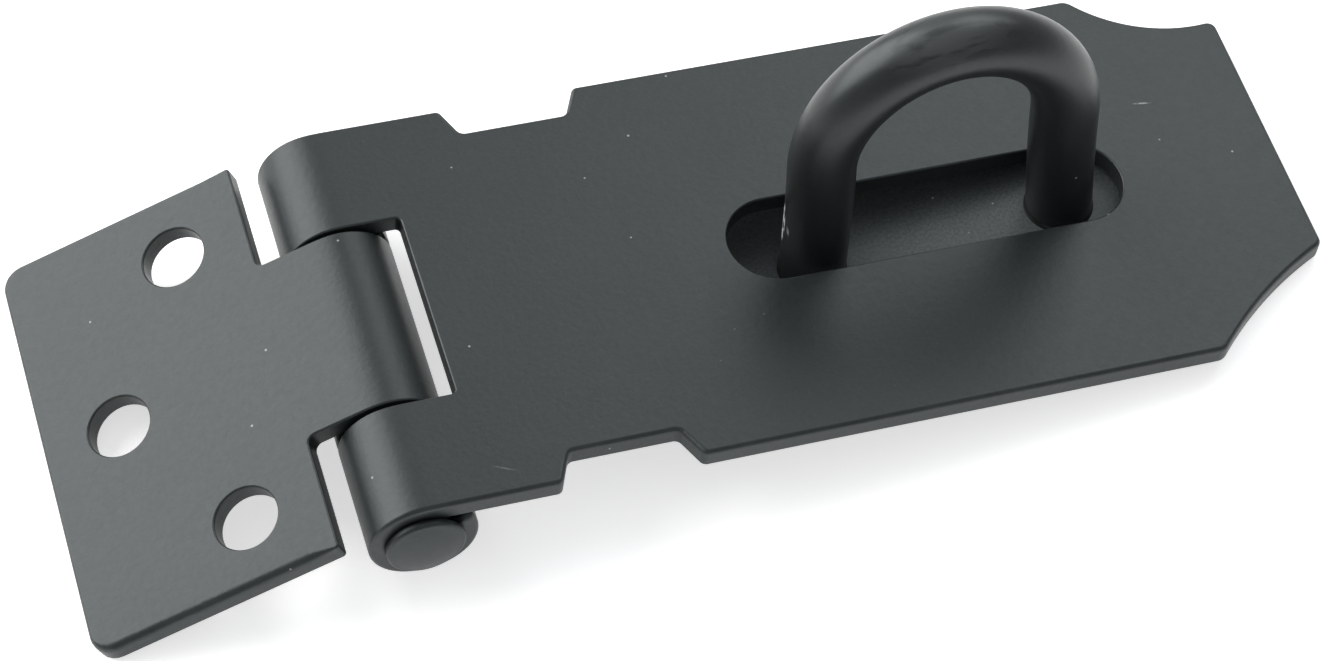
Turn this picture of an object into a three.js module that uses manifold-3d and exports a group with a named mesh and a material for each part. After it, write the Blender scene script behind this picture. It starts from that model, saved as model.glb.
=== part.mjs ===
// Hasp and staple: a slotted hasp leaf and a short hinge leaf on one pin, with a loose staple in the slot.
// Millimetres, +Z up. X runs along the hasp leaf to its free end, Y along the hinge pin.
// The origin is the middle of the staple's underside, on the surface that everything stands on.
import * as THREE from "three";
import { mergeVertices } from "three/addons/utils/BufferGeometryUtils.js";
import Module from "manifold-3d";

const wasm = await Module();
wasm.setup();

// Sheet, pin and barrel.
const LEAF_WIDTH = 44;
const SHEET = 2;
const PIN_RADIUS = 3;
const PIN_CLEARANCE = 0.15;
const BORE_RADIUS = PIN_RADIUS + PIN_CLEARANCE;
const BARREL_RADIUS = BORE_RADIUS + SHEET;
const CURL_END = THREE.MathUtils.degToRad(360 + 34);

// Hasp leaf, measured from the pin's axis towards its free end.
const HASP_LENGTH = 91.7;
const CUTOUT_END = 5.85;
const CUTOUT_WIDTH = 20.6;
const NECK_HALF_WIDTH = 18.88;
const NECK_SLOPE_START = 12.7;
const NECK_START = 14.1;
const NECK_END = 24.6;
const NECK_SLOPE_END = 26.1;
const SLOT_MIDDLE = 55.25;
const SLOT_LENGTH = 40;
const SLOT_WIDTH = 9.4;
const BITE_START = 77.8;
const BACK_END_HALF_WIDTH = 16.4;
const BACK_BITE_RADIUS = 15;
const FRONT_END_HALF_WIDTH = 12.3;
const FRONT_BITE_RADIUS = 45;

// Hinge leaf, measured from the pin's axis towards its far edge.
const HINGE_LENGTH = 31.2;
const SHOULDER = 6.4;
const TONGUE_WIDTH = 19.8;
const HINGE_CORNER_RADIUS = 2.2;
const SHOULDER_CORNER_RADIUS = 0.6;
const TONGUE_NOTCH_RADIUS = 0.8;
const SCREW_HOLE_RADIUS = 3.12;
const OUTER_HOLE_X = 14;
const OUTER_HOLE_Y = 15.1;
const MIDDLE_HOLE_X = 23.4;

// Pin heads, peened to shallow domes over the outer knuckles.
const PIN_HEAD_RADIUS = 3.75;
const PIN_HEAD_HEIGHT = 1.3;
const PIN_HEAD_RIM = 0.5;
const PIN_HEAD_GAP = 0.15;

// Staple: a round bar bow riveted into a flat base plate.
const BAR_RADIUS = 3.25;
const FOOT_SPACING = 25.2;
const ARCH_HALF_WIDTH = 12;
const ARCH_HEIGHT = 13.7;
const STAPLE_HEIGHT = 34.2;
const LEG_SHARE = 0.24;
const STAPLE_CROSSING = 56.4;
const BASE_LENGTH = 42;
const BASE_WIDTH = 34;
const BASE_THICKNESS = 1.5;
const BASE_CORNER_RADIUS = 3;
const BASE_HOLE_RADIUS = 2.6;
const BASE_HOLE_X = 15;
const BASE_HOLE_Y = 11.5;
const FOOT_GAP = 0.2;
const TENON_RADIUS = 2.2;
const TENON_FLARE_RADIUS = 3;
const TENON_GAP = 0.25;

// How finely round shapes are divided.
const BARREL_SEGMENTS = 16;
const BITE_SEGMENTS = 8;
const HOLE_SEGMENTS = 14;
const CORNER_SEGMENTS = 6;
const DOME_STEPS = 6;
const BOW_STEPS = 56;
const BAR_SIDES = 24;
const WELD_DISTANCE = 1e-4;

// How the pieces lie: both leaves slope down and away from the pin.
const HASP_SLOPE = THREE.MathUtils.degToRad(6.2);
const HINGE_SLOPE = THREE.MathUtils.degToRad(18.8);

const BLACK_COAT = { color: 0x2b2e30, roughness: 0.45, metalness: 0.1 };

function solidFrom(geometry) {
  const bare = geometry.clone();
  bare.deleteAttribute("normal");
  bare.deleteAttribute("uv");
  const merged = mergeVertices(bare, WELD_DISTANCE);
  const vertProperties = new Float32Array(merged.attributes.position.array);
  const triVerts = new Uint32Array(merged.index.array);
  return new wasm.Manifold(new wasm.Mesh({ numProp: 3, vertProperties, triVerts }));
}

function geometryFrom(solid) {
  const mesh = solid.getMesh();
  const geometry = new THREE.BufferGeometry();
  geometry.setAttribute("position", new THREE.Float32BufferAttribute(mesh.vertProperties, 3));
  geometry.setIndex(Array.from(mesh.triVerts));
  geometry.computeVertexNormals();
  return geometry;
}

function namedMesh(name, geometry) {
  const mesh = new THREE.Mesh(geometry, new THREE.MeshStandardMaterial(BLACK_COAT));
  mesh.name = name;
  return mesh;
}

// A straight-sided outline in which each corner is [x, y, radius of its rounding].
function roundedOutline(corners) {
  const shape = new THREE.Shape();
  const place = (i) => new THREE.Vector2().fromArray(corners.at(i % corners.length));
  corners.forEach(([, , radius = 0], i) => {
    const corner = place(i);
    const before = place(i - 1).sub(corner).normalize();
    const after = place(i + 1).sub(corner).normalize();
    const half = Math.acos(before.dot(after)) / 2;
    const reach = radius / Math.tan(half);
    const enter = corner.clone().addScaledVector(before, reach);
    const leave = corner.clone().addScaledVector(after, reach);
    if (i === 0) shape.moveTo(enter.x, enter.y);
    else shape.lineTo(enter.x, enter.y);
    if (radius === 0) return;
    const middle = before.clone().add(after).normalize();
    const centre = corner.clone().addScaledVector(middle, radius / Math.sin(half));
    const from = enter.sub(centre).angle();
    const to = leave.sub(centre).angle();
    shape.absarc(centre.x, centre.y, radius, from, to, before.cross(after) > 0);
  });
  return shape;
}

// A hollow arc from the path's last point to (x, y), with its centre on the path's right.
function hollowArcTo(path, x, y, radius) {
  const from = path.currentPoint.clone();
  const to = new THREE.Vector2(x, y);
  const chord = to.clone().sub(from);
  const side = new THREE.Vector2(chord.y, -chord.x).normalize();
  const depth = Math.sqrt(radius ** 2 - chord.lengthSq() / 4);
  const centre = from.clone().addScaledVector(chord, 0.5).addScaledVector(side, depth);
  const startAngle = from.clone().sub(centre).angle();
  const endAngle = to.sub(centre).angle();
  path.absarc(centre.x, centre.y, radius, startAngle, endAngle, true);
}

// A vertical prism over a plan outline, tall enough to reach through a leaf and its barrel.
function planPrism(outline, curveSegments = BITE_SEGMENTS) {
  const depth = 6 * BARREL_RADIUS;
  const prism = new THREE.ExtrudeGeometry(outline, { depth, bevelEnabled: false, curveSegments });
  return solidFrom(prism.translate(0, 0, -depth / 2));
}

function roundPrism(x, y, radius) {
  const circle = new THREE.Shape().absarc(x, y, radius, 0, 2 * Math.PI, false);
  return planPrism(circle, HOLE_SEGMENTS);
}

// The side view of a leaf: a flat strip from +x that leaves its plane over the pin and curls round it.
function leafProfile(length) {
  const profile = new THREE.Shape();
  profile.moveTo(length, BORE_RADIUS);
  profile.lineTo(length, BARREL_RADIUS);
  profile.absarc(0, 0, BARREL_RADIUS, Math.PI / 2, CURL_END, false);
  profile.absarc(0, 0, BORE_RADIUS, CURL_END, Math.PI / 2, true);
  return profile;
}

function leafStrip(length) {
  const strip = new THREE.ExtrudeGeometry(leafProfile(length), {
    depth: LEAF_WIDTH,
    bevelEnabled: false,
    curveSegments: BARREL_SEGMENTS,
  });
  strip.rotateX(Math.PI / 2);
  return solidFrom(strip.translate(0, LEAF_WIDTH / 2, 0));
}

// The hasp leaf's plan: necked behind the knuckles, with a hollow bite out of each free corner.
function haspOutline() {
  const half = LEAF_WIDTH / 2;
  const cut = CUTOUT_WIDTH / 2;
  const outline = new THREE.Shape();
  outline.moveTo(-2 * BARREL_RADIUS, -half);
  outline.lineTo(NECK_SLOPE_START, -half);
  outline.lineTo(NECK_START, -NECK_HALF_WIDTH);
  outline.lineTo(NECK_END, -NECK_HALF_WIDTH);
  outline.lineTo(NECK_SLOPE_END, -half);
  outline.lineTo(BITE_START, -half);
  hollowArcTo(outline, HASP_LENGTH, -FRONT_END_HALF_WIDTH, FRONT_BITE_RADIUS);
  outline.lineTo(HASP_LENGTH, BACK_END_HALF_WIDTH);
  hollowArcTo(outline, BITE_START, half, BACK_BITE_RADIUS);
  outline.lineTo(NECK_SLOPE_END, half);
  outline.lineTo(NECK_END, NECK_HALF_WIDTH);
  outline.lineTo(NECK_START, NECK_HALF_WIDTH);
  outline.lineTo(NECK_SLOPE_START, half);
  outline.lineTo(-2 * BARREL_RADIUS, half);
  outline.lineTo(-2 * BARREL_RADIUS, cut);
  outline.lineTo(CUTOUT_END, cut);
  outline.lineTo(CUTOUT_END, -cut);
  outline.lineTo(-2 * BARREL_RADIUS, -cut);
  return outline;
}

function haspPlate() {
  const slotStart = SLOT_MIDDLE - SLOT_LENGTH / 2;
  const slotEnd = SLOT_MIDDLE + SLOT_LENGTH / 2;
  const halfSlot = SLOT_WIDTH / 2;
  const slot = new THREE.Shape();
  slot.absarc(slotEnd - halfSlot, 0, halfSlot, -Math.PI / 2, Math.PI / 2, false);
  slot.absarc(slotStart + halfSlot, 0, halfSlot, Math.PI / 2, 1.5 * Math.PI, false);
  const leaf = leafStrip(HASP_LENGTH).intersect(planPrism(haspOutline()));
  return namedMesh("hasp_plate", geometryFrom(leaf.subtract(planPrism(slot))));
}

// The hinge leaf's plan, drawn towards +x and turned round with its group.
function hingeOutline() {
  const half = LEAF_WIDTH / 2;
  const tongue = TONGUE_WIDTH / 2;
  return roundedOutline([
    [-2 * BARREL_RADIUS, -tongue],
    [SHOULDER, -tongue, TONGUE_NOTCH_RADIUS],
    [SHOULDER, -half, SHOULDER_CORNER_RADIUS],
    [HINGE_LENGTH, -half, HINGE_CORNER_RADIUS],
    [HINGE_LENGTH, half, HINGE_CORNER_RADIUS],
    [SHOULDER, half, SHOULDER_CORNER_RADIUS],
    [SHOULDER, tongue, TONGUE_NOTCH_RADIUS],
    [-2 * BARREL_RADIUS, tongue],
  ]);
}

function hingePlate() {
  const holes = [
    roundPrism(OUTER_HOLE_X, OUTER_HOLE_Y, SCREW_HOLE_RADIUS),
    roundPrism(OUTER_HOLE_X, -OUTER_HOLE_Y, SCREW_HOLE_RADIUS),
    roundPrism(MIDDLE_HOLE_X, 0, SCREW_HOLE_RADIUS),
  ];
  const leaf = leafStrip(HINGE_LENGTH).intersect(planPrism(hingeOutline()));
  const drilled = holes.reduce((solid, hole) => solid.subtract(hole), leaf);
  return namedMesh("hinge_plate", geometryFrom(drilled));
}

// Half of the pin's profile from its middle outwards, mirrored to make both domed heads.
function hingePin() {
  const headFace = LEAF_WIDTH / 2 + PIN_HEAD_GAP;
  const domeHeight = PIN_HEAD_HEIGHT - PIN_HEAD_RIM;
  const half = [new THREE.Vector2(PIN_RADIUS, headFace), new THREE.Vector2(PIN_HEAD_RADIUS, headFace)];
  for (let i = 0; i <= DOME_STEPS; i++) {
    const angle = (i / DOME_STEPS) * (Math.PI / 2);
    const radius = i === DOME_STEPS ? 0 : PIN_HEAD_RADIUS * Math.cos(angle);
    half.push(new THREE.Vector2(radius, headFace + PIN_HEAD_RIM + domeHeight * Math.sin(angle)));
  }
  const mirrored = half.map((point) => new THREE.Vector2(point.x, -point.y)).reverse();
  return namedMesh("hinge_pin", new THREE.LatheGeometry([...mirrored, ...half], BAR_SIDES));
}

// The bow's centre line: straight legs that lean in a little, under a half-ellipse arch.
class BowCurve extends THREE.Curve {
  getPoint(t) {
    const foot = BASE_THICKNESS + FOOT_GAP;
    const spring = STAPLE_HEIGHT - BAR_RADIUS - ARCH_HEIGHT;
    const along = Math.min(t, 1 - t) / LEG_SHARE;
    if (along < 1) {
      const halfSpacing = THREE.MathUtils.lerp(FOOT_SPACING / 2, ARCH_HALF_WIDTH, along);
      const height = THREE.MathUtils.lerp(foot, spring, along);
      return new THREE.Vector3(t < 0.5 ? -halfSpacing : halfSpacing, 0, height);
    }
    const angle = (Math.PI * (t - LEG_SHARE)) / (1 - 2 * LEG_SHARE);
    const x = -ARCH_HALF_WIDTH * Math.cos(angle);
    return new THREE.Vector3(x, 0, spring + ARCH_HEIGHT * Math.sin(angle));
  }
}

// The riveted end of a leg, which flares to fill the countersink under the base plate. With a gap, it is
// the space for that end: larger all round, and reaching below the plate.
function tenon(x, gap = 0) {
  const radius = TENON_RADIUS + gap;
  const flareRadius = TENON_FLARE_RADIUS + gap;
  const top = 2 * BASE_THICKNESS;
  const below = gap > 0 ? [new THREE.Vector2(flareRadius, -gap)] : [];
  const profile = [
    new THREE.Vector2(0, -gap),
    ...below,
    new THREE.Vector2(flareRadius, 0),
    new THREE.Vector2(radius, TENON_FLARE_RADIUS - TENON_RADIUS),
    new THREE.Vector2(radius, top),
    new THREE.Vector2(0, top),
  ];
  const lathe = new THREE.LatheGeometry(profile, BAR_SIDES);
  return solidFrom(lathe.rotateX(Math.PI / 2).translate(x, 0, 0));
}

function stapleBow() {
  const section = new THREE.Shape().absarc(0, 0, BAR_RADIUS, 0, 2 * Math.PI, false);
  const bar = new THREE.ExtrudeGeometry(section, {
    steps: BOW_STEPS,
    extrudePath: new BowCurve(),
    curveSegments: BAR_SIDES / 2,
  });
  const bow = solidFrom(bar).add(tenon(-FOOT_SPACING / 2)).add(tenon(FOOT_SPACING / 2));
  return namedMesh("staple_bow", geometryFrom(bow));
}

function stapleBasePlate() {
  const x = BASE_LENGTH / 2;
  const y = BASE_WIDTH / 2;
  const outline = roundedOutline([
    [-x, -y, BASE_CORNER_RADIUS],
    [x, -y, BASE_CORNER_RADIUS],
    [x, y, BASE_CORNER_RADIUS],
    [-x, y, BASE_CORNER_RADIUS],
  ]);
  const slab = new THREE.ExtrudeGeometry(outline, {
    depth: BASE_THICKNESS,
    bevelEnabled: false,
    curveSegments: CORNER_SEGMENTS,
  });
  let plate = solidFrom(slab);
  for (const side of [-1, 1]) {
    plate = plate.subtract(tenon((side * FOOT_SPACING) / 2, TENON_GAP));
    plate = plate.subtract(roundPrism(side * BASE_HOLE_X, -BASE_HOLE_Y, BASE_HOLE_RADIUS));
    plate = plate.subtract(roundPrism(side * BASE_HOLE_X, BASE_HOLE_Y, BASE_HOLE_RADIUS));
  }
  return namedMesh("staple_base_plate", geometryFrom(plate));
}

// The pin's height lets the hinge leaf's far edge stand on the surface.
function pinHeight() {
  return HINGE_LENGTH * Math.sin(HINGE_SLOPE) - BORE_RADIUS * Math.cos(HINGE_SLOPE);
}

function pinX() {
  return -(STAPLE_CROSSING * Math.cos(HASP_SLOPE) + BARREL_RADIUS * Math.sin(HASP_SLOPE));
}

const haspLeaf = new THREE.Group();
haspLeaf.rotation.y = HASP_SLOPE;
haspLeaf.add(haspPlate(), hingePin());

const hingeLeaf = new THREE.Group();
hingeLeaf.rotation.set(0, HINGE_SLOPE, Math.PI, "ZYX");
hingeLeaf.add(hingePlate());

const hinge = new THREE.Group();
hinge.position.set(pinX(), 0, pinHeight());
hinge.add(haspLeaf, hingeLeaf);

const group = new THREE.Group();
group.add(hinge, stapleBow(), stapleBasePlate());

export default group;
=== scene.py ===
"""The looks of a black powder-coated hasp and staple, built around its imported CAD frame.

Each steel leaf is made as it is in the shop: a flat blank with rounded punched edges, cut across where
it will bend, and then rolled round the pin. Sizes are in millimetres until a mesh is placed.
"""

import math

import bmesh
import bpy
import numpy as np
from mathutils import Matrix, Vector


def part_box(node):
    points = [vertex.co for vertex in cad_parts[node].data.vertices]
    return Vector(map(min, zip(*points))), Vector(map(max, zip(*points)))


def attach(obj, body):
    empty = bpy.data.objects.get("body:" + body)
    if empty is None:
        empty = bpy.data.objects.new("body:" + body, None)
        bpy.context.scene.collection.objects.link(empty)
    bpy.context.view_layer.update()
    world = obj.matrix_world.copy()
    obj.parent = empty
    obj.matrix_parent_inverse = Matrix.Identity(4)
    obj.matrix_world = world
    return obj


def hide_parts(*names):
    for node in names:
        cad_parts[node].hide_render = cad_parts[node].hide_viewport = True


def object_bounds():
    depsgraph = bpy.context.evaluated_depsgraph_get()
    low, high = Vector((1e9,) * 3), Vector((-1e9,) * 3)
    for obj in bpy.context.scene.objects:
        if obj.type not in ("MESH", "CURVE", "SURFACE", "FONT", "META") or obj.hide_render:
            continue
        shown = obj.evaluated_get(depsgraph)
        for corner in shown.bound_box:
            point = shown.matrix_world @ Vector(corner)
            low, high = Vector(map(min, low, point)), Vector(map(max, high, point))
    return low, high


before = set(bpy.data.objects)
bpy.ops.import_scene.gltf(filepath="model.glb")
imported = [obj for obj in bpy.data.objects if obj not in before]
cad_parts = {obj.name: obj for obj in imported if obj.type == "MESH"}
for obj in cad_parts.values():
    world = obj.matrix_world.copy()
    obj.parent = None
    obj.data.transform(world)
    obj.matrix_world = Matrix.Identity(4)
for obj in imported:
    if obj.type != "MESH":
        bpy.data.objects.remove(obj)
cad_low, cad_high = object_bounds()

MM = 0.001

# Sheet and barrel, shared by the two leaves. The curl goes three quarters of the way round the pin,
# and CURL_END_DEG more.
HALF_WIDTH = 22
SHEET = 2
PIN_RADIUS = 3
BORE_RADIUS = 3.15
BARREL_RADIUS = BORE_RADIUS + SHEET
THREE_QUARTERS_DEG = 270
CURL_END_DEG = 34
BEND_STEP_DEG = 4
BEND_ONSET = 1.6

# Rounding of the sheet's edges: on the outside, in cut-outs and holes, along the hinge leaf's front
# edge, and on the lower face.
TOP_ROUNDING = 0.45
CUT_ROUNDING = 0.22
FRONT_ROUNDING = 0.8
BOTTOM_ROUNDING = 0.12
ROUNDING_STEPS = 6

# Hasp leaf, measured from the pin's axis towards its free end.
HASP_SLOPE_DEG = 6.2
HASP_LENGTH = 91.7
CUTOUT_END = 5.85
CUTOUT_HALF_WIDTH = 10.3
NECK_HALF_WIDTH = 18.88
NECK_SLOPE_START = 12.7
NECK_START = 14.1
NECK_END = 24.6
NECK_SLOPE_END = 26.1
SLOT_START = 35.25
SLOT_END = 75.25
SLOT_HALF_WIDTH = 4.7
BITE_START = 77.8
BACK_END_HALF_WIDTH = 16.4
BACK_BITE_RADIUS = 15
FRONT_END_HALF_WIDTH = 12.3
FRONT_BITE_RADIUS = 45

# Hinge leaf, measured from the pin's axis towards its far edge.
HINGE_SLOPE_DEG = 18.8
HINGE_LENGTH = 31.2
SHOULDER = 6.4
SHOULDER_CORNER_RADIUS = 0.35
OUTER_CORNER_RADIUS = 2.2
EDGE_EASED = SHOULDER + 3
TONGUE_HALF_WIDTH = 9.9
SCREW_HOLE_RADIUS = 3.12
SCREW_HOLES = [(14, 15.1), (14, -15.1), (23.4, 0)]

# Pin heads, peened over the outer knuckles.
HEAD_RADIUS = 3.75
HEAD_GAP = 0.15
HEAD_HEIGHT = 1.3
HEAD_CHAMFER = 0.1
HEAD_RIM = 0.35
HEAD_ROUNDING = 0.4
HEAD_NECK = 0.4
PIN_SEGMENTS = 72

# Staple. Coating gathers in a low collar (height, thickness) round each foot, where the bar meets
# the base plate. The bar is a little flattened over the arch, where it was bent.
BAR_RADIUS = 3.25
BAR_SEGMENTS = 56
LEG_STATIONS = 25
ARCH_STATIONS = 97
ARCH_FLATTENING = 0.02
FOOT_HALF_SPACING = 12.6
COLLAR = [(0, 0.16), (0.1, 0.15), (0.25, 0.1), (0.45, 0.03)]
COLLAR_TOP = 0.6
ARCH_HALF_WIDTH = 12
ARCH_HEIGHT = 13.7
TENON_RADIUS = 2.2
TENON_FLARE_RADIUS = 3
TENON_FLARE_TOP = 1
TENON_GAP = 0.25
BASE_CORNER_RADIUS = 3
BASE_ROUNDING = 0.3
BASE_HOLE_RADIUS = 2.6
BASE_HOLE_X = 15
BASE_HOLE_Y = 11.5

HOLLOW_POINTS = 28
HOLE_POINTS = 56
SHARP_ANGLE_DEG = 40
EVEN_SHADING_WEIGHT = 80


# Outlines. A run is a line or arc given as points, and a corner between two runs is rounded off.

def arc(centre, radius, start_deg, end_deg, count):
    angles = np.radians(np.linspace(start_deg, end_deg, count))
    return np.array(centre) + radius * np.column_stack([np.cos(angles), np.sin(angles)])


def hollow_arc(start, end, radius):
    """An arc from start to end that turns right, so that it bites into a blank on its left."""
    start, end = np.array(start, float), np.array(end, float)
    chord = end - start
    length = np.linalg.norm(chord)
    right = np.array([chord[1], -chord[0]]) / length
    centre = (start + end) / 2 + right * math.sqrt(radius**2 - length**2 / 4)
    first = math.degrees(math.atan2(*(start - centre)[::-1]))
    last = math.degrees(math.atan2(*(end - centre)[::-1]))
    return arc(centre, radius, first, last, HOLLOW_POINTS)


def circle(x, y, radius):
    """A clockwise circle, the boundary of a hole."""
    return arc((x, y), radius, 0, -360, HOLE_POINTS + 1)[:-1]


def line(*points):
    return np.array(points, float)


def unit(vector):
    return vector / np.linalg.norm(vector)


def trim(run, reach):
    """The run without its last reach millimetres."""
    steps = np.linalg.norm(np.diff(run, axis=0), axis=1)
    along = np.concatenate([[0], np.cumsum(steps)])
    stop = along[-1] - reach
    kept = run[along < stop - 1e-6]
    cut = np.array([np.interp(stop, along, run[:, axis]) for axis in range(2)])
    return np.vstack([kept, cut])


def rounded_outline(runs, radii, steps=7):
    """A closed outline of the runs, with corner i, where run i starts, rounded to radii[i]."""
    reaches = []
    for i, radius in enumerate(radii):
        arriving = unit(runs[i - 1][-1] - runs[i - 1][-2])
        leaving = unit(runs[i][1] - runs[i][0])
        turn = math.acos(np.clip(arriving @ leaving, -1, 1))
        reaches.append(radius * math.tan(turn / 2))
    trimmed = []
    for i, run in enumerate(runs):
        late = trim(run, reaches[(i + 1) % len(runs)])
        trimmed.append(trim(late[::-1], reaches[i])[::-1])
    points = []
    for i, run in enumerate(trimmed):
        before = trimmed[i - 1]
        start, end = before[-1], run[0]
        arriving = unit(before[-1] - before[-2])
        leaving = unit(run[1] - run[0])
        side = np.column_stack([arriving, leaving])
        corner = start + arriving * np.linalg.solve(side, end - start)[0]
        weight = math.sqrt((1 + arriving @ leaving) / 2)
        for u in np.linspace(0, 1, steps)[1:-1]:
            a, b, c = (1 - u) ** 2, 2 * u * (1 - u) * weight, u**2
            points.append((a * start + b * corner + c * end) / (a + b + c))
        points.extend(run)
    return np.array(points)


def inset(loop, distance):
    """The loop moved to its left by distance, with mitred corners."""
    before = loop - np.roll(loop, 1, axis=0)
    after = np.roll(loop, -1, axis=0) - loop
    before /= np.linalg.norm(before, axis=1)[:, None]
    after /= np.linalg.norm(after, axis=1)[:, None]
    middle = before + after
    middle /= np.linalg.norm(middle, axis=1)[:, None]
    left = np.column_stack([-middle[:, 1], middle[:, 0]])
    shrink = np.einsum("ij,ij->i", before, middle)
    return loop + left * (distance / shrink)[:, None]


# Blanks. A cut edge is a list of (how far in, how deep, how worn), from the top face to the bottom one,
# in which the first two are numbers or one number for each point of the outline.

def punched_edge(rounding, thickness):
    """The edge that a punch leaves: drawn down at the top, plain below, and nearly sharp underneath."""
    profile = []
    for i in range(ROUNDING_STEPS + 1):
        angle = math.pi / 2 * i / ROUNDING_STEPS
        worn = math.sin(2 * angle)
        profile.append((rounding * (1 - math.sin(angle)), rounding * (1 - math.cos(angle)), worn))
    profile.append((0, thickness - BOTTOM_ROUNDING, 0.1))
    profile.append((BOTTOM_ROUNDING, thickness, 0))
    return profile


def countersunk_edge(flare, thickness):
    """A tenon's hole: narrow at the top face and wider at the bottom one."""
    narrow = thickness - flare
    return [(0, 0, 0), (0, narrow, 0), (-flare, thickness, 0)]


def flat_blank(cuts):
    """A closed flat plate from (loop, edge profile) pairs, its top face at z 0 and the outline first."""
    mesh = bmesh.new()
    worn_layer = mesh.verts.layers.float.new("worn")
    top_edges, bottom_edges = [], []
    for loop, profile in cuts:
        rings = []
        for distance, depth, worn in profile:
            heights = -depth * np.ones(len(loop))
            ring = [mesh.verts.new((x, y, z)) for (x, y), z in zip(inset(loop, distance), heights)]
            for vertex in ring:
                vertex[worn_layer] = worn
            rings.append(ring)
        count = len(loop)
        for upper, lower in zip(rings, rings[1:]):
            for i in range(count):
                j = (i + 1) % count
                mesh.faces.new((upper[i], lower[i], lower[j], upper[j]))
        for ring, edges in ((rings[0], top_edges), (rings[-1], bottom_edges)):
            edges.extend(mesh.edges.get((ring[i], ring[(i + 1) % count])) for i in range(count))
    for edges, normal in ((top_edges, (0, 0, 1)), (bottom_edges, (0, 0, -1))):
        bmesh.ops.triangle_fill(mesh, use_beauty=True, use_dissolve=False, edges=edges, normal=normal)
    bmesh.ops.recalc_face_normals(mesh, faces=mesh.faces)
    return mesh


# Rolling. Over the pin's middle, at 0, the blank leaves its plane and follows the barrel. Sprung steel
# takes up a bend gradually, so the turning builds up from BEND_ONSET before that place to as far after.

ROLLED_END = -BARREL_RADIUS * math.radians(THREE_QUARTERS_DEG + CURL_END_DEG)


def bend_path():
    """Along the top face: distance past the pin's middle, turn in radians, and place in the side view."""
    step = 0.02
    past = np.arange(-BEND_ONSET, 0.5 - ROLLED_END, step)
    share = np.clip((past + BEND_ONSET) / (2 * BEND_ONSET), 0, 1)
    turn = np.cumsum(share / BARREL_RADIUS) * step
    across = BEND_ONSET - np.cumsum(np.cos(turn)) * step
    height = BARREL_RADIUS - np.cumsum(np.sin(turn)) * step
    return past, turn, across, height


def rolled(along, depth, path):
    """Where a point of the blank goes in the leaf's side view."""
    if along >= BEND_ONSET:
        return along, BARREL_RADIUS - depth
    past, *columns = path
    turn, across, height = (np.interp(-along, past, column) for column in columns)
    return across + depth * math.sin(turn), height - depth * math.cos(turn)


def roll_up(mesh):
    """Cuts the blank across at even steps, so that it bends smoothly, and curls it round the pin."""
    step = BARREL_RADIUS * math.radians(BEND_STEP_DEG)
    for along in np.arange(BEND_ONSET, ROLLED_END, -step):
        geometry = mesh.verts[:] + mesh.edges[:] + mesh.faces[:]
        bmesh.ops.bisect_plane(
            mesh, geom=geometry, dist=1e-5, plane_co=(along, 0, 0), plane_no=(1, 0, 0)
        )
    path = bend_path()
    for vertex in mesh.verts:
        vertex.co.x, vertex.co.z = rolled(vertex.co.x, -vertex.co.z, path)


def pin_axis():
    low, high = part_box("hinge_pin")
    return (low + high) / 2


def leaf_matrix(slope_deg, facing_deg):
    """From a leaf's own frame in millimetres to the row frame."""
    slope = Matrix.Rotation(math.radians(slope_deg), 4, "Y")
    facing = Matrix.Rotation(math.radians(facing_deg), 4, "Z")
    return Matrix.Translation(pin_axis()) @ facing @ slope @ Matrix.Scale(MM, 4)


def piece_from(mesh, name, node, body, matrix, material):
    """Puts a finished mesh in its place, smooth shaded, where it stands for its CAD node."""
    mesh.transform(matrix)
    data = bpy.data.meshes.new(name)
    mesh.to_mesh(data)
    mesh.free()
    data.shade_smooth()
    data.set_sharp_from_angle(angle=math.radians(SHARP_ANGLE_DEG))
    data.materials.append(material)
    piece = bpy.data.objects.new(name, data)
    bpy.context.scene.collection.objects.link(piece)
    normals = piece.modifiers.new("even_shading", "WEIGHTED_NORMAL")
    normals.mode = "FACE_AREA"
    normals.weight = EVEN_SHADING_WEIGHT
    normals.keep_sharp = True
    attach(piece, body)
    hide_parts(node)


def hasp_outline():
    """The hasp leaf's blank, anticlockwise: runs, each with the radius of the corner where it starts."""
    half, cut, neck, end = HALF_WIDTH, CUTOUT_HALF_WIDTH, NECK_HALF_WIDTH, ROLLED_END
    front_start, front_end = (BITE_START, -half), (HASP_LENGTH, -FRONT_END_HALF_WIDTH)
    back_start, back_end = (HASP_LENGTH, BACK_END_HALF_WIDTH), (BITE_START, half)
    corners = [
        (line((end, -half), (NECK_SLOPE_START, -half)), 0.8),
        (line((NECK_SLOPE_START, -half), (NECK_START, -neck)), 0.7),
        (line((NECK_START, -neck), (NECK_END, -neck)), 0.8),
        (line((NECK_END, -neck), (NECK_SLOPE_END, -half)), 0.8),
        (line((NECK_SLOPE_END, -half), front_start), 0.7),
        (hollow_arc(front_start, front_end, FRONT_BITE_RADIUS), 1.5),
        (line(front_end, back_start), 1.0),
        (hollow_arc(back_start, back_end, BACK_BITE_RADIUS), 0.9),
        (line(back_end, (NECK_SLOPE_END, half)), 1.4),
        (line((NECK_SLOPE_END, half), (NECK_END, neck)), 0.7),
        (line((NECK_END, neck), (NECK_START, neck)), 0.8),
        (line((NECK_START, neck), (NECK_SLOPE_START, half)), 0.8),
        (line((NECK_SLOPE_START, half), (end, half)), 0.7),
        (line((end, half), (end, cut)), 0.8),
        (line((end, cut), (CUTOUT_END, cut)), 0.8),
        (line((CUTOUT_END, cut), (CUTOUT_END, -cut)), 0.5),
        (line((CUTOUT_END, -cut), (end, -cut)), 0.5),
        (line((end, -cut), (end, -half)), 0.8),
    ]
    return rounded_outline([run for run, _ in corners], [radius for _, radius in corners])


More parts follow.
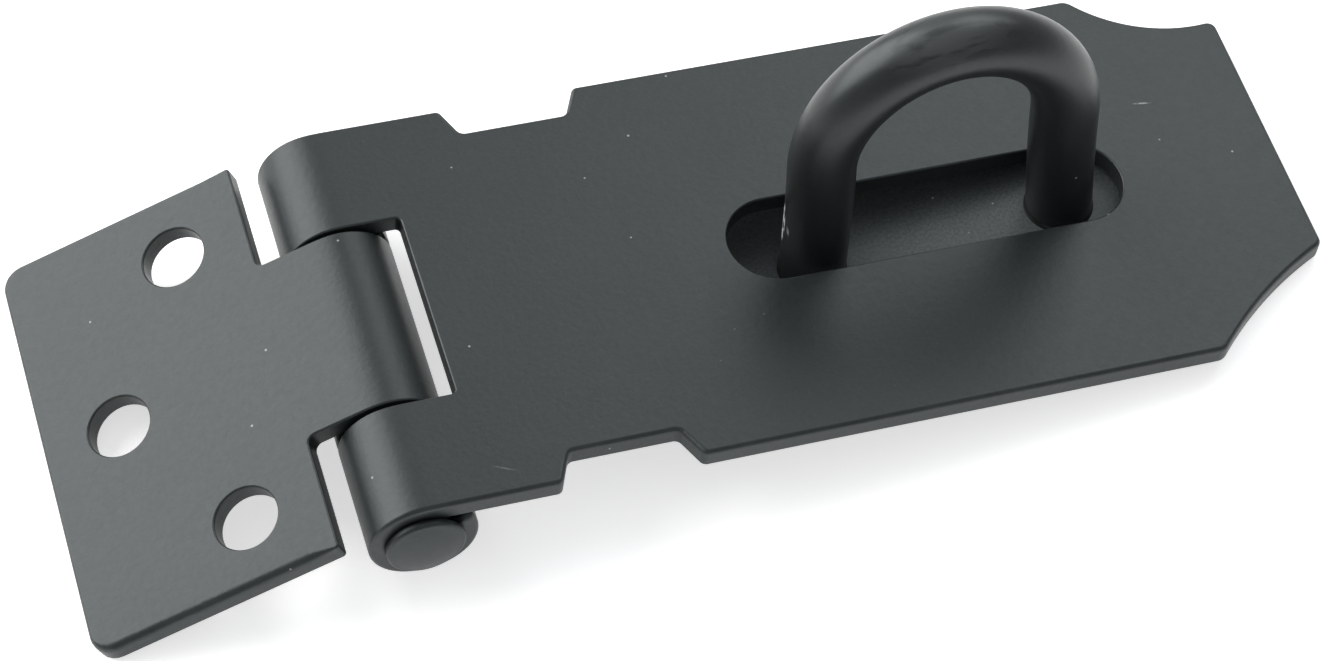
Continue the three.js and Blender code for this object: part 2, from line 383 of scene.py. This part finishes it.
def slot_outline():
    right = arc((SLOT_END - SLOT_HALF_WIDTH, 0), SLOT_HALF_WIDTH, 90, -90, 33)
    left = arc((SLOT_START + SLOT_HALF_WIDTH, 0), SLOT_HALF_WIDTH, -90, -270, 33)
    return np.vstack([right, left])


def make_hasp_leaf(material):
    outline = hasp_outline()
    in_cutout = (outline[:, 0] < CUTOUT_END + 0.1) & (abs(outline[:, 1]) < CUTOUT_HALF_WIDTH + 0.1)
    edge = punched_edge(np.where(in_cutout, CUT_ROUNDING, TOP_ROUNDING), SHEET)
    blank = flat_blank([(outline, edge), (slot_outline(), punched_edge(CUT_ROUNDING, SHEET))])
    roll_up(blank)
    matrix = leaf_matrix(HASP_SLOPE_DEG, 0)
    piece_from(blank, "hasp_leaf_sheet", "hasp_plate", "hasp_leaf", matrix, material)


def hinge_outline():
    """The hinge leaf's blank, anticlockwise: runs, each with the radius of the corner where it starts."""
    half, tongue, end = HALF_WIDTH, TONGUE_HALF_WIDTH, ROLLED_END
    corners = [
        (line((end, -tongue), (SHOULDER, -tongue)), 0.8),
        (line((SHOULDER, -tongue), (SHOULDER, -half)), 0.8),
        (line((SHOULDER, -half), (EDGE_EASED, -half), (HINGE_LENGTH, -half)), SHOULDER_CORNER_RADIUS),
        (line((HINGE_LENGTH, -half), (HINGE_LENGTH, half)), OUTER_CORNER_RADIUS),
        (line((HINGE_LENGTH, half), (EDGE_EASED, half), (SHOULDER, half)), OUTER_CORNER_RADIUS),
        (line((SHOULDER, half), (SHOULDER, tongue)), SHOULDER_CORNER_RADIUS),
        (line((SHOULDER, tongue), (end, tongue)), 0.8),
        (line((end, tongue), (end, -tongue)), 0.8),
    ]
    return rounded_outline([run for run, _ in corners], [radius for _, radius in corners])


def make_hinge_leaf(material):
    outline = hinge_outline()
    outer = np.interp(outline[:, 1], [HALF_WIDTH - 2, HALF_WIDTH], [TOP_ROUNDING, FRONT_ROUNDING])
    eased = np.interp(outline[:, 0], [SHOULDER + 0.5, EDGE_EASED], [0, 1])
    edge = punched_edge(CUT_ROUNDING + (outer - CUT_ROUNDING) * eased, SHEET)
    hole_edge = punched_edge(CUT_ROUNDING, SHEET)
    cuts = [(outline, edge)]
    cuts += [(circle(x, y, SCREW_HOLE_RADIUS), hole_edge) for x, y in SCREW_HOLES]
    blank = flat_blank(cuts)
    roll_up(blank)
    matrix = leaf_matrix(HINGE_SLOPE_DEG, 180)
    piece_from(blank, "hinge_leaf_sheet", "hinge_plate", "hinge_leaf", matrix, material)


# Round pieces, made as rings of points.

def skin(rings):
    """A closed tube through rings of equal length, with a cap on each end."""
    mesh = bmesh.new()
    mesh.verts.layers.float.new("worn")
    rows = [[mesh.verts.new(point) for point in ring] for ring in rings]
    count = len(rows[0])
    for lower, upper in zip(rows, rows[1:]):
        for i in range(count):
            j = (i + 1) % count
            mesh.faces.new((lower[i], lower[j], upper[j], upper[i]))
    for row in (rows[0], rows[-1]):
        middle = mesh.verts.new(sum((vertex.co for vertex in row), Vector()) / count)
        for i in range(count):
            mesh.faces.new((row[i], row[(i + 1) % count], middle))
    bmesh.ops.recalc_face_normals(mesh, faces=mesh.faces)
    return mesh


def head_profile():
    """(radius, distance from the pin's middle) over one peened head, from its neck to its middle."""
    under = HALF_WIDTH + HEAD_GAP
    crown_start = under + HEAD_RIM
    points = [
        (PIN_RADIUS, under - HEAD_NECK),
        (PIN_RADIUS, under),
        (HEAD_RADIUS - HEAD_CHAMFER, under),
        (HEAD_RADIUS, under + HEAD_CHAMFER),
    ]
    for angle in np.linspace(0, math.pi / 2, 7):
        radius = HEAD_RADIUS - HEAD_ROUNDING * (1 - math.cos(angle))
        points.append((radius, crown_start + HEAD_ROUNDING * math.sin(angle)))
    dome_radius = HEAD_RADIUS - HEAD_ROUNDING
    dome_start = crown_start + HEAD_ROUNDING
    dome_height = HEAD_HEIGHT - HEAD_RIM - HEAD_ROUNDING
    dome_rings = 12
    for i in range(1, dome_rings):
        share = 1 - i / dome_rings
        points.append((dome_radius * share, dome_start + dome_height * (1 - share**2)))
    return points


def hammered(angle):
    """How far a peened head is out of round: three broad lobes and seven slight ones."""
    return 1 + 0.006 * math.sin(3 * angle + 1) + 0.004 * math.sin(7 * angle)


def make_hinge_pin(material):
    half = head_profile()
    profile = [(radius, -along) for radius, along in reversed(half)] + half
    rings = []
    for radius, along in profile:
        in_head = abs(along) > HALF_WIDTH + HEAD_GAP
        ring = []
        for i in range(PIN_SEGMENTS):
            angle = 2 * math.pi * i / PIN_SEGMENTS
            reach = radius * (hammered(angle) if in_head else 1)
            ring.append((reach * math.cos(angle), along, reach * math.sin(angle)))
        rings.append(ring)
    matrix = Matrix.Translation(pin_axis()) @ Matrix.Scale(MM, 4)
    piece_from(skin(rings), "hinge_pin_peened", "hinge_pin", "hasp_leaf", matrix, material)


def bow_rings(base_top, height):
    """Rings along the bow, from the tail of one riveted foot to the tail of the other."""
    spring = height - BAR_RADIUS - ARCH_HEIGHT
    foot = base_top + COLLAR_TOP
    line_points = []
    for share in np.linspace(0, 1, LEG_STATIONS + 1)[:-1]:
        lean = (FOOT_HALF_SPACING - ARCH_HALF_WIDTH) * (1 - share) ** 1.5
        line_points.append((-ARCH_HALF_WIDTH - lean, foot + (spring - foot) * share, 0))
    for angle in np.linspace(0, math.pi, ARCH_STATIONS):
        x = -ARCH_HALF_WIDTH * math.cos(angle)
        line_points.append((x, spring + ARCH_HEIGHT * math.sin(angle), math.sin(angle)))
    line_points += [(-x, z, bend) for x, z, bend in reversed(line_points[:LEG_STATIONS])]
    path = np.array(line_points)
    tangents = np.gradient(path[:, :2], axis=0)
    tangents /= np.linalg.norm(tangents, axis=1)[:, None]
    foot_stack = [
        (0.04, TENON_FLARE_RADIUS - 0.5),
        (0.12, TENON_FLARE_RADIUS - 0.1),
        (0.75 * TENON_FLARE_TOP, TENON_RADIUS + 0.05),
        (TENON_FLARE_TOP, TENON_RADIUS),
        (base_top, TENON_RADIUS),
    ]
    foot_stack += [(base_top + up, BAR_RADIUS + out) for up, out in COLLAR]
    stations = [((-FOOT_HALF_SPACING, z), (0, 1), radius, radius) for z, radius in foot_stack]
    for (x, z, bend), tangent in zip(path, tangents):
        stations.append(((x, z), tangent, BAR_RADIUS * (1 - ARCH_FLATTENING * bend), BAR_RADIUS))
    for z, radius in reversed(foot_stack):
        stations.append(((FOOT_HALF_SPACING, z), (0, -1), radius, radius))
    rings = []
    for (x, z), (tx, tz), flat_radius, side_radius in stations:
        ring = []
        for i in range(BAR_SEGMENTS):
            angle = 2 * math.pi * i / BAR_SEGMENTS
            outward = flat_radius * math.cos(angle)
            across = side_radius * math.sin(angle)
            ring.append((x - tz * outward, across, z + tx * outward))
        rings.append(ring)
    return rings


def make_staple(bow_material, base_material_with_painted_light):
    _, base_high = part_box("staple_base_plate")
    _, bow_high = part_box("staple_bow")
    thickness = base_high.z / MM
    place = Matrix.Scale(MM, 4)
    bow = skin(bow_rings(thickness, bow_high.z / MM))
    piece_from(bow, "staple_bow_bar", "staple_bow", "staple", place, bow_material)

    x, y = base_high.x / MM, base_high.y / MM
    corners = [(-x, -y), (x, -y), (x, y), (-x, y)]
    runs = [line(corners[i], corners[(i + 1) % 4]) for i in range(4)]
    outline = rounded_outline(runs, [BASE_CORNER_RADIUS] * 4, 12)
    cuts = [(outline, punched_edge(BASE_ROUNDING, thickness))]
    flare = TENON_FLARE_RADIUS - TENON_RADIUS
    for side in (-1, 1):
        tenon_hole = circle(side * FOOT_HALF_SPACING, 0, TENON_RADIUS + TENON_GAP)
        cuts.append((tenon_hole, countersunk_edge(flare, thickness)))
        for across in (-BASE_HOLE_Y, BASE_HOLE_Y):
            hole = circle(side * BASE_HOLE_X, across, BASE_HOLE_RADIUS)
            cuts.append((hole, punched_edge(BASE_ROUNDING, thickness)))
    plate = flat_blank(cuts)
    lift = place @ Matrix.Translation((0, 0, thickness))
    piece_from(plate, "staple_base_sheet", "staple_base_plate", "staple", lift, base_material_with_painted_light)


# Materials. Places and sizes on the object are in millimetres.

LEAF_DARK, LEAF_LIGHT = (0.009, 0.0115, 0.012), (0.014, 0.0165, 0.017)
BAR_DARK, BAR_LIGHT = (0.007, 0.008, 0.0085), (0.011, 0.0122, 0.0126)
# The base plate's colours are painted several times lighter than the other parts: painted light, for the
# light that reaches the base plate through the hasp's slot.
BASE_DARK_WITH_PAINTED_LIGHT, BASE_LIGHT_WITH_PAINTED_LIGHT = (0.036, 0.042, 0.044), (0.078, 0.086, 0.088)
RUBBED_COLOUR = (0.045, 0.048, 0.049)
FLECK_COLOUR = (0.16, 0.17, 0.17)
SPECK_COLOUR = (0.42, 0.43, 0.42)

COAT_IOR = 1.5
COAT_TINT = (0.93, 1.0, 1.01, 1)
CLOUD_SIZE = 9
MOTTLE_SIZE = 0.3
WEAR_SIZE = 3.5
GLOSS_SIZE = 0.7
GLOSS_SPREAD = 0.015
GLOSS_WHERE_RUBBED = 0.1
PEEL_SIZE = 0.6
PEEL_DEPTH = 0.05
GRAIN_SIZE = 0.25
GRAIN_DEPTH = 0.02

# Marks: middle, then half sizes.
FLAKED_STRIP = (-15.5, 0.7, 9.6), (0.35, 0.7, 3.6)
FLAKED_STRIP_COLOUR = (0.42, 0.44, 0.44)
LOOSE_FLAKE = (-15.3, -0.5, 9.2), (0.55, 0.5, 0.9)
LOOSE_FLAKE_COLOUR = (0.17, 0.18, 0.18)
# On the arch's top the bar is painted lighter and broken by darker streaks: part real scuffs and part
# painted highlight.
SCUFFS_AND_PAINTED_HIGHLIGHT_TOP = (-1, -0.5, 34), (9, 4.5, 4)
SCUFF_AND_PAINTED_HIGHLIGHT_COLOUR = (0.05, 0.053, 0.053)

# Scratches on the hasp leaf: middle, half sizes, turn about Z in degrees, colour.
SCRATCHES = [
    ((24.0, 7.75, 3.5), (1.15, 0.13, 0.6), -8, (0.3, 0.32, 0.3)),
    ((-48.2, -19.3, 11.3), (1.5, 0.12, 0.6), -25, (0.08, 0.085, 0.085)),
]


class Nodes:
    """A small helper for wiring a material's nodes."""

    def __init__(self, material):
        material.use_nodes = True
        self.tree = material.node_tree
        self.tree.nodes.clear()
        self.place = self.add("ShaderNodeTexCoord").outputs["Object"]

    def add(self, kind, **settings):
        node = self.tree.nodes.new(kind)
        for name, value in settings.items():
            setattr(node, name, value)
        return node

    def join(self, output, socket):
        self.tree.links.new(output, socket)

    def math(self, operation, a, b, clamp=False):
        node = self.add("ShaderNodeMath", operation=operation, use_clamp=clamp)
        for socket, value in zip(node.inputs, (a, b)):
            if isinstance(value, (int, float)):
                socket.default_value = value
            else:
                self.join(value, socket)
        return node.outputs[0]

    def noise(self, size_mm, detail, vector=None):
        """Smooth noise whose lumps are about size_mm across."""
        node = self.add("ShaderNodeTexNoise")
        node.inputs["Scale"].default_value = 1 / (size_mm * MM)
        node.inputs["Detail"].default_value = detail
        self.join(vector or self.place, node.inputs["Vector"])
        return node.outputs["Fac"]

    def ramp(self, value, low, high, to_low=0.0, to_high=1.0):
        node = self.add("ShaderNodeMapRange", interpolation_type="SMOOTHSTEP")
        self.join(value, node.inputs["Value"])
        node.inputs["From Min"].default_value = low
        node.inputs["From Max"].default_value = high
        node.inputs["To Min"].default_value = to_low
        node.inputs["To Max"].default_value = to_high
        return node.outputs["Result"]

    def mix(self, share, a, b):
        node = self.add("ShaderNodeMix", data_type="RGBA")
        self.join(share, node.inputs["Factor"])
        for socket, value in ((node.inputs["A"], a), (node.inputs["B"], b)):
            if isinstance(value, tuple):
                socket.default_value = (*value, 1)
            else:
                self.join(value, socket)
        return node.outputs["Result"]

    def near(self, centre_mm, size_mm, core, turn_deg=0.0):
        """1 round a place on the object, out to a share (core) of size_mm, and 0 beyond size_mm."""
        away = self.add("ShaderNodeMapping", vector_type="TEXTURE")
        away.inputs["Location"].default_value = Vector(centre_mm) * MM
        away.inputs["Rotation"].default_value = (0, 0, math.radians(turn_deg))
        away.inputs["Scale"].default_value = Vector(size_mm) * MM
        self.join(self.place, away.inputs["Vector"])
        length = self.add("ShaderNodeVectorMath", operation="LENGTH")
        self.join(away.outputs[0], length.inputs[0])
        return self.ramp(length.outputs["Value"], core, 1.0, 1.0, 0.0)

    def stretched(self, turn, scale):
        """Object space turned (in degrees) and squeezed, so that a noise in it draws streaks."""
        node = self.add("ShaderNodeMapping")
        node.inputs["Rotation"].default_value = [math.radians(angle) for angle in turn]
        node.inputs["Scale"].default_value = scale
        self.join(self.place, node.inputs["Vector"])
        return node.outputs[0]

    def bump(self, strength, depth_mm, height):
        node = self.add("ShaderNodeBump")
        node.inputs["Strength"].default_value = strength
        node.inputs["Distance"].default_value = depth_mm * MM
        self.join(height, node.inputs["Height"])
        return node


def dust(nodes, cell_mm, radius_mm, share):
    """Tiny dots scattered through space, a share of one to a cell. The surface shows those it cuts."""
    cells = nodes.add("ShaderNodeTexVoronoi")
    cells.inputs["Scale"].default_value = 1 / (cell_mm * MM)
    nodes.join(nodes.place, cells.inputs["Vector"])
    radius = radius_mm / cell_mm
    dot = nodes.ramp(cells.outputs["Distance"], 0.5 * radius, radius, 1.0, 0.0)
    tone = nodes.add("ShaderNodeSeparateColor")
    nodes.join(cells.outputs["Color"], tone.inputs[0])
    chosen = nodes.math("LESS_THAN", tone.outputs[0], share)
    return nodes.math("MULTIPLY", dot, chosen)


def powder_coat(name, dark, light, roughness, peel, grain, marks=None):
    """Satin black powder coat: mottled colour, orange peel, fine grain, dust, and rubbed edges.

    peel and grain are the strengths of two bumps. marks, if given, paints over the colour.
    """
    material = bpy.data.materials.new(name)
    nodes = Nodes(material)
    shader = nodes.add("ShaderNodeBsdfPrincipled")
    shader.inputs["Metallic"].default_value = 0.0
    shader.inputs["IOR"].default_value = COAT_IOR
    shader.inputs["Specular Tint"].default_value = COAT_TINT
    output = nodes.add("ShaderNodeOutputMaterial")
    nodes.join(shader.outputs[0], output.inputs["Surface"])

    cloud = nodes.math("MULTIPLY", nodes.noise(CLOUD_SIZE, 3), 0.35)
    mottle = nodes.math("MULTIPLY", nodes.noise(MOTTLE_SIZE, 2), 0.65)
    tone = nodes.math("ADD", cloud, mottle)
    colour = nodes.mix(nodes.ramp(tone, 0.3, 0.7), dark, light)

    worn = nodes.add("ShaderNodeAttribute", attribute_name="worn").outputs["Fac"]
    patchy = nodes.ramp(nodes.noise(WEAR_SIZE, 4), 0.42, 0.66)
    rubbed = nodes.math("MULTIPLY", worn, nodes.math("ADD", nodes.math("MULTIPLY", patchy, 0.75), 0.25))
    colour = nodes.mix(nodes.math("MULTIPLY", rubbed, 0.35), colour, RUBBED_COLOUR)

    flecks = dust(nodes, cell_mm=1.1, radius_mm=0.05, share=0.4)
    colour = nodes.mix(nodes.math("MULTIPLY", flecks, 0.35), colour, FLECK_COLOUR)
    specks = dust(nodes, cell_mm=3.0, radius_mm=0.16, share=0.45)
    colour = nodes.mix(nodes.math("MULTIPLY", specks, 0.7), colour, SPECK_COLOUR)
    if marks:
        colour = marks(nodes, colour)
    nodes.join(colour, shader.inputs["Base Color"])

    gloss_noise = nodes.noise(GLOSS_SIZE, 3)
    gloss = nodes.ramp(gloss_noise, 0.3, 0.7, roughness - GLOSS_SPREAD, roughness + GLOSS_SPREAD)
    smoothed = nodes.math("SUBTRACT", gloss, nodes.math("MULTIPLY", rubbed, GLOSS_WHERE_RUBBED))
    nodes.join(smoothed, shader.inputs["Roughness"])

    peel_bump = nodes.bump(peel, PEEL_DEPTH, nodes.noise(PEEL_SIZE, 1))
    grain_bump = nodes.bump(grain, GRAIN_DEPTH, nodes.noise(GRAIN_SIZE, 2))
    nodes.join(peel_bump.outputs[0], grain_bump.inputs["Normal"])
    nodes.join(grain_bump.outputs[0], shader.inputs["Normal"])
    return material


def flaked_scuffed_highlighted_bow(nodes, colour):
    """A flaked strip low on one leg of the staple, and, where the bar was bent, fine scuffs over a
    painted highlight that lightens the top of the arch.
    """
    ragged = nodes.noise(0.55, 4, nodes.stretched((0, 0, 0), (1, 1, 0.35)))
    flaking = nodes.ramp(ragged, 0.42, 0.5)
    strip = nodes.near(*FLAKED_STRIP, core=0.7)
    colour = nodes.mix(nodes.math("MULTIPLY", strip, flaking), colour, FLAKED_STRIP_COLOUR)
    loose = nodes.near(*LOOSE_FLAKE, core=0.4)
    colour = nodes.mix(nodes.math("MULTIPLY", loose, flaking), colour, LOOSE_FLAKE_COLOUR)
    streaks = nodes.noise(1.0, 3, nodes.stretched((0, 35, 30), (0.22, 1, 1.3)))
    darker_streaks = nodes.ramp(streaks, 0.5, 0.7, 0.0, 0.6)
    # The top of the arch is painted lighter, a painted highlight, with darker streaks left through it
    # that draw the scuffs.
    scuffs_and_highlight = nodes.math("SUBTRACT", nodes.near(*SCUFFS_AND_PAINTED_HIGHLIGHT_TOP, core=0.2), darker_streaks, clamp=True)
    return nodes.mix(scuffs_and_highlight, colour, SCUFF_AND_PAINTED_HIGHLIGHT_COLOUR)


def scratched_leaf(nodes, colour):
    """Two short scratches on the hasp leaf, one near its free end and one by its front knuckle."""
    broken = nodes.ramp(nodes.noise(0.35, 2), 0.35, 0.5)
    for centre, size, turn_deg, tone in SCRATCHES:
        mark = nodes.math("MULTIPLY", nodes.near(centre, size, 0.3, turn_deg), broken)
        colour = nodes.mix(nodes.math("MULTIPLY", mark, 0.85), colour, tone)
    return colour


# Floor. It glows round the object, but not in the shade right under the staple.
FLOOR_HALF_SIZE = 3000
FLOOR_GAP = 0.05
FLOOR_CLOUD_SIZE = 60
FLOOR_GREY, FLOOR_WHITE = (0.88, 0.88, 0.88), (0.9, 0.9, 0.9)
FLOOR_GLOW = 0.6
FLOOR_GLOW_REACH = (320, 260, 200)
UNDER_STAPLE_REACH = (34, 17, 10)


def make_floor():
    """A plain pale floor just under the base plate, which glows a little like a light table."""
    mesh = bmesh.new()
    bmesh.ops.create_grid(mesh, x_segments=4, y_segments=4, size=FLOOR_HALF_SIZE * MM)
    data = bpy.data.meshes.new("floor")
    mesh.to_mesh(data)
    mesh.free()
    floor = bpy.data.objects.new("floor", data)
    floor.location.z = cad_low.z - FLOOR_GAP * MM
    bpy.context.scene.collection.objects.link(floor)
    material = bpy.data.materials.new("pale_floor")
    nodes = Nodes(material)
    shader = nodes.add("ShaderNodeBsdfPrincipled")
    shader.inputs["Roughness"].default_value = 0.9
    shader.inputs["Specular IOR Level"].default_value = 0.1
    shader.inputs["Emission Color"].default_value = (1, 1, 1, 1)
    output = nodes.add("ShaderNodeOutputMaterial")
    nodes.join(shader.outputs[0], output.inputs["Surface"])
    colour = nodes.mix(nodes.noise(FLOOR_CLOUD_SIZE, 2), FLOOR_GREY, FLOOR_WHITE)
    nodes.join(colour, shader.inputs["Base Color"])
    middle = (cad_low + cad_high) / (2 * MM)
    around = nodes.near(middle, FLOOR_GLOW_REACH, core=0.35)
    under_staple = nodes.near((0, 0, 0), UNDER_STAPLE_REACH, core=0.75)
    lit = nodes.math("SUBTRACT", around, under_staple, clamp=True)
    nodes.join(nodes.math("MULTIPLY", lit, FLOOR_GLOW), shader.inputs["Emission Strength"])
    data.materials.append(material)


# Light and camera. Light distances and sizes are in metres, and powers in watts.

SKY_COLOUR = (0.97, 0.985, 1.0, 1)
SKY_STRENGTH = 0.45


def direction(azimuth_deg, elevation_deg):
    """From the object towards a place round it: azimuth 0 is in front, and 90 is to the right."""
    a, e = math.radians(azimuth_deg), math.radians(elevation_deg)
    return Vector((math.sin(a) * math.cos(e), -math.cos(a) * math.cos(e), math.sin(e)))


def make_panel(name, azimuth_deg, elevation_deg, distance, size, power, colour):
    light = bpy.data.lights.new(name, "AREA")
    light.shape = "RECTANGLE"
    light.size, light.size_y = size
    light.energy = power
    light.color = colour
    lamp = bpy.data.objects.new(name, light)
    towards = direction(azimuth_deg, elevation_deg)
    lamp.location = (cad_low + cad_high) / 2 + towards * distance
    lamp.rotation_mode = "QUATERNION"
    lamp.rotation_quaternion = towards.to_track_quat("Z", "Y")
    bpy.context.scene.collection.objects.link(lamp)


def make_light():
    world = bpy.data.worlds.new("studio")
    world.use_nodes = True
    background = world.node_tree.nodes["Background"]
    background.inputs["Color"].default_value = SKY_COLOUR
    background.inputs["Strength"].default_value = SKY_STRENGTH
    bpy.context.scene.world = world
    make_panel("back_left_panel", azimuth_deg=-132, elevation_deg=34, distance=0.8,
               size=(0.9, 0.75), power=9.3, colour=(1.0, 0.995, 0.985))
    make_panel("back_right_panel", azimuth_deg=134, elevation_deg=43, distance=0.9,
               size=(0.55, 0.5), power=2.25, colour=(0.96, 0.99, 1.0))
    bpy.context.scene.view_settings.view_transform = "Standard"


# Fitted to the photograph: angles in degrees, distance, target and lens in millimetres.
CAMERA_AZIMUTH_DEG = -15.734
CAMERA_ELEVATION_DEG = 56.018
CAMERA_ROLL_DEG = -1.227
CAMERA_DISTANCE = 347.0
CAMERA_TARGET = (-30.06, -8.35, 10)
CAMERA_LENS = 101.825
CAMERA_SENSOR = 36


def make_camera():
    data = bpy.data.cameras.new("camera")
    data.lens = CAMERA_LENS
    data.sensor_width = CAMERA_SENSOR
    data.sensor_fit = "HORIZONTAL"
    camera = bpy.data.objects.new("camera", data)
    turn = Matrix.Rotation(math.radians(CAMERA_AZIMUTH_DEG), 4, "Z")
    tilt = Matrix.Rotation(math.radians(90 - CAMERA_ELEVATION_DEG), 4, "X")
    roll = Matrix.Rotation(math.radians(CAMERA_ROLL_DEG), 4, "Z")
    target = Vector(CAMERA_TARGET) * MM
    place = target + direction(CAMERA_AZIMUTH_DEG, CAMERA_ELEVATION_DEG) * CAMERA_DISTANCE * MM
    camera.matrix_world = Matrix.Translation(place) @ turn @ tilt @ roll
    bpy.context.scene.collection.objects.link(camera)
    bpy.context.scene.camera = camera


make_camera()
make_light()
make_floor()

hasp_coat = powder_coat("hasp_powder_coat", LEAF_DARK, LEAF_LIGHT,
                        roughness=0.42, peel=0.35, grain=0.25, marks=scratched_leaf)
hinge_coat = powder_coat("hinge_powder_coat", LEAF_DARK, LEAF_LIGHT,
                         roughness=0.42, peel=0.4, grain=0.25)
pin_coat = powder_coat("pin_powder_coat", LEAF_DARK, LEAF_LIGHT,
                       roughness=0.42, peel=0.2, grain=0.2)
bar_coat = powder_coat("bar_powder_coat", BAR_DARK, BAR_LIGHT,
                       roughness=0.36, peel=0.15, grain=0.12, marks=flaked_scuffed_highlighted_bow)
# The base plate's coat carries painted light: its colours are painted lighter than the black of the other
# parts.
base_coat_with_painted_light = powder_coat("base_powder_coat_with_painted_light", BASE_DARK_WITH_PAINTED_LIGHT, BASE_LIGHT_WITH_PAINTED_LIGHT,
                        roughness=0.5, peel=0.35, grain=0.6)

make_hasp_leaf(hasp_coat)
make_hinge_leaf(hinge_coat)
make_hinge_pin(pin_coat)
make_staple(bar_coat, base_coat_with_painted_light)
